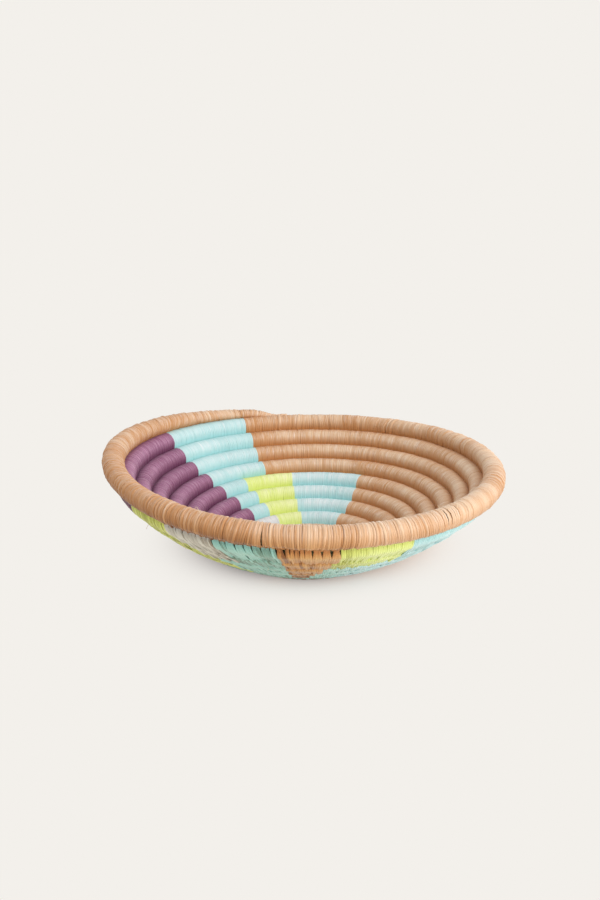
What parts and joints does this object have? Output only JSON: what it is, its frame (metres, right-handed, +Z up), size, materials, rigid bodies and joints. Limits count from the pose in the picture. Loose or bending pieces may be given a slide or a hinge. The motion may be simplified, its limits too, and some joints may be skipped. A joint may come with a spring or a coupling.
{
  "type": "coiled plateau basket",
  "caption": "Low round bowl sewn from one long grass coil, bound in thread of several colours in stepped blocks, with a plain rim and a flat base, for fruit, bread or wall display.",
  "frame": {"origin": "middle of the basket's box in plan, at the height of the surface that the base rests on", "axes": "+Z up out of the bowl's mouth; the picture looks along +Y, with +X to its right; the coil's outer end is at the back, 97 degrees anticlockwise from +X"},
  "size_m": [0.1972, 0.1942, 0.0582],
  "materials": {
    "tan_thread": "undyed sisal thread, softly satin, wound close",
    "aqua_thread": "pale aqua dyed sisal thread, softly satin, wound close",
    "purple_thread": "purple dyed sisal thread, softly satin, wound close",
    "lime_thread": "lime dyed sisal thread, softly satin, wound close",
    "white_thread": "bleached sisal thread, softly satin, wound close",
    "grass": "dry dark grass stalks, matte"
  },
  "bodies": {
    "root": {"grass_core": "grass", "rim_binding_tan": "tan_thread", "binding_row_01_aqua_back_left": "aqua_thread", "binding_row_01_purple_left": "purple_thread", "binding_row_01_lime_front_left": "lime_thread", "binding_row_01_white_front_left": "white_thread", "binding_row_01_aqua_front": "aqua_thread", "binding_row_01_tan_front": "tan_thread", "binding_row_01_lime_front": "lime_thread", "binding_row_01_aqua_front_right": "aqua_thread", "binding_row_01_tan_back_right": "tan_thread", "binding_row_02_aqua_back_left": "aqua_thread", "binding_row_02_purple_left": "purple_thread", "binding_row_02_lime_front_left": "lime_thread", "binding_row_02_white_front_left": "white_thread", "binding_row_02_aqua_front": "aqua_thread", "binding_row_02_tan_front": "tan_thread", "binding_row_02_lime_front": "lime_thread", "binding_row_02_aqua_front_right": "aqua_thread", "binding_row_02_tan_back_right": "tan_thread", "binding_row_03_aqua_back_left": "aqua_thread", "binding_row_03_purple_left": "purple_thread", "binding_row_03_lime_front_left": "lime_thread", "binding_row_03_aqua_front": "aqua_thread", "binding_row_03_tan_front": "tan_thread", "binding_row_03_aqua_front_right": "aqua_thread", "binding_row_03_tan_back_right": "tan_thread", "binding_row_04_aqua_back_left": "aqua_thread", "binding_row_04_purple_left": "purple_thread", "binding_row_04_lime_front_left": "lime_thread", "binding_row_04_aqua_front": "aqua_thread", "binding_row_04_tan_front": "tan_thread", "binding_row_04_aqua_front_right": "aqua_thread", "binding_row_04_tan_right": "tan_thread", "binding_row_04_aqua_back": "aqua_thread", "binding_row_05_lime_back": "lime_thread", "binding_row_05_aqua_back_left": "aqua_thread", "binding_row_05_purple_left": "purple_thread", "binding_row_05_aqua_front_left": "aqua_thread", "binding_row_05_tan_front": "tan_thread", "binding_row_05_aqua_front_right": "aqua_thread", "binding_row_05_tan_right": "tan_thread", "binding_row_05_aqua_back": "aqua_thread", "binding_row_06_lime_back": "lime_thread", "binding_row_06_aqua_back_left": "aqua_thread", "binding_row_06_purple_left": "purple_thread", "binding_row_06_aqua_front": "aqua_thread", "binding_row_06_tan_right": "tan_thread", "binding_row_06_aqua_back": "aqua_thread", "binding_row_07_lime_back": "lime_thread", "binding_row_07_aqua_back_left": "aqua_thread", "binding_row_07_purple_left": "purple_thread", "binding_row_07_tan_front_right": "tan_thread", "binding_row_07_aqua_back": "aqua_thread", "binding_row_08_lime_back": "lime_thread", "binding_row_08_white_back_left": "white_thread", "binding_row_08_purple_left": "purple_thread", "binding_row_08_tan_front_right": "tan_thread", "binding_row_09_aqua_all_round": "aqua_thread", "base_binding_tan": "tan_thread"}
  },
  "joints": []
}
